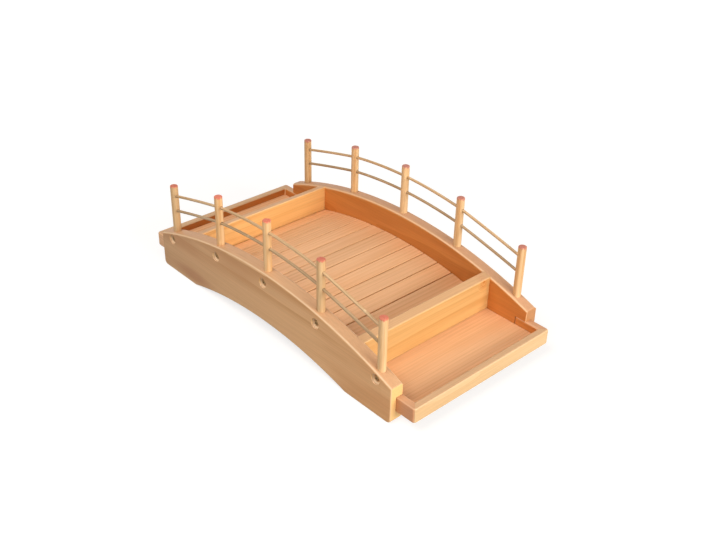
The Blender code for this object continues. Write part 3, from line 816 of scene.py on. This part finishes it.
def makeTray(endName):
    end = endSigns[endName]
    s = traySet
    innerX, outerX, rimY = trayHigh.x - s["rimThickness"], trayHigh.x, trayHigh.y
    away = cheekLow.x - past
    levels = (trayLow.z - past, trayHigh.z + past)

    def region(points):
        return extruded([(end * x, y) for x, y in points], "xy", *levels)

    piece = linked(f"{endName}_end_rail_sanded", rimShape(end))
    soften(piece, s["edgeRound"])
    cheekRegions = []
    for side in sideSigns.values():
        cheekRegions.append(region([
            (outerX + past, side * (rimY + past)), (innerX - past, side * (innerY - past)),
            (away, side * (innerY - past)), (away, side * (rimY + past))]))
    groove = block((end * (innerX - past), end * (innerX + s["grooveDepth"])), (-innerY, innerY),
                   (floorLow.z - hair, floorHigh.z + hair))
    carve(piece, *cheekRegions)
    carve(piece, groove)
    layGrain(piece, "y")
    finishFaces(piece, "y", squareness, rimSheen)
    settle(piece, f"{endName}_end_rail", railPine, Vector((-end, 0, 0)))

    mitreGap = seam * math.sqrt(2)
    for sideName, side in sideSigns.items():
        piece = linked(f"{endName}_{sideName}_tray_cheek_sanded", rimShape(end))
        soften(piece, s["edgeRound"])
        carve(piece, region([
            (outerX + past - mitreGap, side * (rimY + past)), (outerX + past, -side * (rimY + past)),
            (away, -side * (rimY + past)), (away, side * (innerY - past)),
            (innerX - past - mitreGap, side * (innerY - past))]))
        layGrain(piece, "x")
        finishFaces(piece, "x", squareness, rimSheen)
        # The left cheeks take the plainer, less rosy board: painted shade, for the greyer shade at the left
        # end
        material = cheekPine if endName == "right" else boardPine
        settle(piece, f"{endName}_{sideName}_tray_cheek", material, Vector((0, -side, 0)))

    low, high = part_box(f"{endName}_tray_floor")
    piece = linked(f"{endName}_tray_floor_sanded", block((low.x, high.x), (low.y, high.y), (low.z, high.z)))
    soften(piece, s["floorRound"], s["floorSteps"])
    layGrain(piece, "y", s["floorPith"])
    finishFaces(piece, "y", squareness)
    settle(piece, f"{endName}_tray_floor", boardPine)


def makeDeck():
    s = deckSet
    deckRadius = topRadius - s["drop"]
    endX = dividerLow.x - hair
    slatLow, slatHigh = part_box("deck_slat_01")
    count = sum(name.startswith("deck_slat_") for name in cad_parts)
    reach = math.asin(endX / deckRadius)
    pitch = 2 * reach / count
    halfWidth = deckRadius * math.tan(pitch / 2) - s["slatGap"] / 2
    for i in range(count):
        angle = pitch * (i + 0.5) - reach
        node = f"deck_slat_{i + 1:02d}"
        piece = linked(f"{node}_sanded", block(
            (-halfWidth, halfWidth), (slatLow.y, slatHigh.y), (-s["slatThickness"], 0.0)))
        soften(piece, s["slatRound"])
        layGrain(piece, "y", tone=s["slatTone"])
        finishFaces(piece, "y", squareness)
        top = (deckRadius * math.sin(angle), 0.0, arcCentreZ + deckRadius * math.cos(angle))
        piece.data.transform(Matrix.Translation(top) @ Matrix.Rotation(angle, 4, "Y"))
        settle(piece, node, boardPine)

    upper = deckRadius - s["slatThickness"] - hair
    for sideName in sideSigns:
        node = f"{sideName}_deck_ledge"
        low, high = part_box(node)
        outline = arcPoints(upper, arcCentreZ, endX, s["ledgeSteps"])
        outline += arcPoints(upper - s["ledgeHeight"], arcCentreZ, endX, s["ledgeSteps"])[::-1]
        piece = linked(f"{node}_sanded", extruded(outline, "xz", low.y, high.y))
        soften(piece, s["ledgeRound"], s["ledgeRoundSteps"])
        layGrain(piece, "x")
        finishFaces(piece, "x", panelSquareness)
        settle(piece, node, boardPine)


makePanel("front", frontPine)
makePanel("back", backPine)
print("panels ready")
for sideName in sideSigns:
    for number in range(1, postSet["count"] + 1):
        makePost(sideName, number)
        makeScrew(sideName, number)
    for level in railSet["heights"]:
        makeRail(sideName, level)
print("railing ready")
for endName in endSigns:
    makeDivider(endName)
    makeTray(endName)
makeDeck()
print("trays and deck ready")

# Pale floor in a white surround that is brighter on the right, a softbox low on the right and one above the
# front. The floor is lifted from the near value to the far one over its reach.
stageSet = {
    "floorSize": 14.0, "floor": "#a1a1a1", "lift": (0.76, 1.0), "liftReach": (0.3, 0.9),
    "ambientLeftToRight": (0.04, 0.46), "ambientColour": "#fff3e4",
}
lampSet = {
    "side softbox": {"azimuth": 2.0, "elevation": 14.0, "distance": 2.2, "width": 1.3, "height": 0.9,
                     "power": 43.0, "colour": "#fff6ec"},
    "top softbox": {"azimuth": -98.0, "elevation": 60.0, "distance": 1.8, "width": 1.1, "height": 1.1,
                    "power": 20.2, "colour": "#fff6f0"},
}
lampAim = (0.0, 0.0, 0.05)
cameraSet = {
    "azimuth": 47.0931, "elevation": 31.7139, "roll": 1.335, "focalPixels": 966.8331, "imageWidth": 716,
    "sensor": 36.0, "distance": 1.18474, "slideRight": 0.022616, "slideUp": -0.037664,
    "aim": (0.0, 0.0, 0.0875), "clipStart": 0.01,
}


def seenDirectly(tree):
    path = addNode(tree, "LightPath").outputs
    seen = path["Is Camera Ray"]
    for other in ("Is Glossy Ray", "Is Transmission Ray"):
        seen = addNode(tree, "Math", {0: seen, 1: path[other]}, operation="MAXIMUM").outputs[0]
    return seen


def makeFloor():
    half = stageSet["floorSize"] / 2
    corners = ((-half, -half), (half, -half), (half, half), (-half, half))
    bm = bmesh.new()
    bm.faces.new([bm.verts.new((x, y, -hair)) for x, y in corners])
    floor = linked("floor", asMesh(bm))
    # Pale card lit by the lamps and lifted to white for the eye alone, so that it keeps the shadow. Away from
    # the lamps it is lifted more.
    material, tree, shader = newMaterial("matt pale card")
    tree.nodes.remove(shader)
    away = addNode(tree, "VectorMath", {0: addNode(tree, "TexCoord").outputs["Object"]}, operation="LENGTH")
    rise = addNode(tree, "MapRange", {
        "Value": away.outputs["Value"], **span(stageSet["liftReach"]), **span(stageSet["lift"], "To")},
        interpolation_type="SMOOTHSTEP")
    lift = addNode(tree, "Math", {0: seenDirectly(tree), 1: rise.outputs[0]}, operation="MULTIPLY")
    card = addNode(tree, "BsdfDiffuse", {"Color": linear(stageSet["floor"])})
    glow = addNode(tree, "Emission", {"Strength": lift.outputs[0]})
    both = addNode(tree, "AddShader", {0: card.outputs[0], 1: glow.outputs[0]})
    tree.links.new(both.outputs[0], tree.nodes["Material Output"].inputs["Surface"])
    floor.data.materials.append(material)


def makeSurround():
    world = bpy.data.worlds.new("white surround")
    scene.world = world
    world.use_nodes = True
    tree = world.node_tree
    toRight = addNode(tree, "SeparateXYZ", {0: addNode(tree, "TexCoord").outputs["Generated"]}).outputs["X"]
    glow = addNode(tree, "MapRange", {
        "Value": toRight, **span((-1.0, 1.0)), **span(stageSet["ambientLeftToRight"], "To")})
    soft = addNode(tree, "Background", {
        "Color": linear(stageSet["ambientColour"]), "Strength": glow.outputs[0]})
    white = addNode(tree, "Background", {"Color": linear("#ffffff"), "Strength": 1.0})
    mix = addNode(tree, "MixShader", {0: seenDirectly(tree), 1: soft.outputs[0], 2: white.outputs[0]})
    tree.links.new(mix.outputs[0], tree.nodes["World Output"].inputs["Surface"])


def makeLamp(name):
    s = lampSet[name]
    turn, rise = math.radians(s["azimuth"]), math.radians(s["elevation"])
    toLamp = Vector((math.cos(turn) * math.cos(rise), math.sin(turn) * math.cos(rise), math.sin(rise)))
    light = bpy.data.lights.new(name, "AREA")
    light.shape = "RECTANGLE"
    light.size = s["width"]
    light.size_y = s["height"]
    light.energy = s["power"]
    light.color = linear(s["colour"])[:3]
    lamp = linked(name, light)
    lamp.visible_camera = False
    lamp.location = Vector(lampAim) + toLamp * s["distance"]
    lamp.rotation_euler = toLamp.to_track_quat("Z", "Y").to_euler()


def makeCamera():
    s = cameraSet
    turn, rise, roll = (math.radians(s[key]) for key in ("azimuth", "elevation", "roll"))
    back = Vector((math.sin(turn) * math.cos(rise), -math.cos(turn) * math.cos(rise), math.sin(rise)))
    level = Vector((math.cos(turn), math.sin(turn), 0.0))
    upright = back.cross(level)
    right = level * math.cos(roll) + upright * math.sin(roll)
    up = upright * math.cos(roll) - level * math.sin(roll)
    data = bpy.data.cameras.new("camera")
    data.sensor_fit = "HORIZONTAL"
    data.sensor_width = s["sensor"]
    data.lens = s["focalPixels"] * s["sensor"] / s["imageWidth"]
    data.clip_start = s["clipStart"]
    camera = linked("camera", data)
    place = Vector(s["aim"]) + back * s["distance"] + right * s["slideRight"] + up * s["slideUp"]
    camera.matrix_world = Matrix.Translation(place) @ Matrix((right, up, back)).transposed().to_4x4()
    scene.camera = camera


makeFloor()
makeSurround()
for name in lampSet:
    makeLamp(name)
makeCamera()
scene.view_settings.view_transform = "Standard"
print("stage ready")
